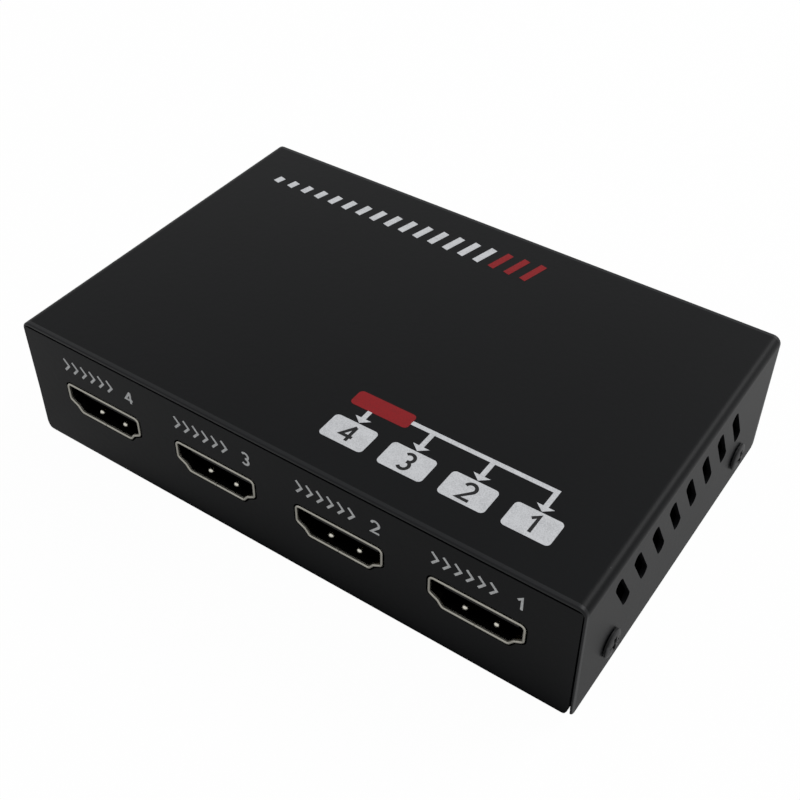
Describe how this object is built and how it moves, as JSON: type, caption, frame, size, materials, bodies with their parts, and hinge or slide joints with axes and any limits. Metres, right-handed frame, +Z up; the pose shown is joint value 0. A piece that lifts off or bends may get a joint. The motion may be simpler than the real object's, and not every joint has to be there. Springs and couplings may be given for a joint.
{
  "type": "hdmi splitter",
  "caption": "Low black bent-steel box with a row of video outputs on one long side, slanted side vents and a single input and power socket behind.",
  "frame": {"origin": "on the table, under the middle of the case", "axes": "+X across the outputs, output 4 to output 1; +Y from the output panel to the rear panel; +Z up"},
  "size_m": [0.0976, 0.0624, 0.0242],
  "materials": {
    "cover_steel": "satin black powder coat on bent sheet steel",
    "tray_steel": "satin black powder coat on bent sheet steel",
    "screw_black": "black zinc-plated screw",
    "foot_rubber": "moulded black rubber with a fine grain",
    "spacer_steel": "turned and plated steel",
    "board_laminate": "green solder mask over glass laminate",
    "shell_nickel": "nickel-plated stamped steel",
    "socket_black": "black glass-filled moulding",
    "contact_gold": "gold-flashed copper alloy",
    "jack_black": "black moulding",
    "jack_nickel": "nickel-plated brass",
    "lamp_red": "tinted clear resin, unlit",
    "lamp_green": "tinted clear resin, unlit",
    "lead_tin": "tinned wire",
    "chip_black": "moulded chip body",
    "pad_grey": "soft heat-conducting pad",
    "sink_aluminium": "black anodised extrusion",
    "inductor_grey": "ferrite with resin",
    "can_aluminium": "bare drawn can",
    "crystal_steel": "drawn steel can",
    "ceramic_tan": "fired ceramic chip"
  },
  "bodies": {
    "root": {"base_tray": "tray_steel", "top_cover": "cover_steel", "cover_screws": "screw_black", "rubber_feet": "foot_rubber", "board_spacers": "spacer_steel", "board_screws": "spacer_steel", "main_board": "board_laminate", "dc_jack_body": "jack_black", "dc_jack_pin": "jack_nickel", "dc_jack_leaf": "jack_nickel", "dc_jack_switch": "jack_nickel", "power_led": "lamp_red", "channel_leds": "lamp_green", "led_leads": "lead_tin", "splitter_chip": "chip_black", "thermal_pad": "pad_grey", "heat_sink": "sink_aluminium", "power_inductor": "inductor_grey", "power_converter": "chip_black", "voltage_regulators": "chip_black", "capacitor_bases": "chip_black", "capacitor_cans": "can_aluminium", "crystal": "crystal_steel", "memory_chips": "chip_black", "surge_guards": "chip_black", "ceramic_capacitors": "ceramic_tan", "resistors": "chip_black", "output_1_shell": "shell_nickel", "output_1_insulator": "socket_black", "output_1_contacts": "contact_gold", "output_2_shell": "shell_nickel", "output_2_insulator": "socket_black", "output_2_contacts": "contact_gold", "output_3_shell": "shell_nickel", "output_3_insulator": "socket_black", "output_3_contacts": "contact_gold", "output_4_shell": "shell_nickel", "output_4_insulator": "socket_black", "output_4_contacts": "contact_gold", "input_shell": "shell_nickel", "input_insulator": "socket_black", "input_contacts": "contact_gold"}
  },
  "joints": []
}
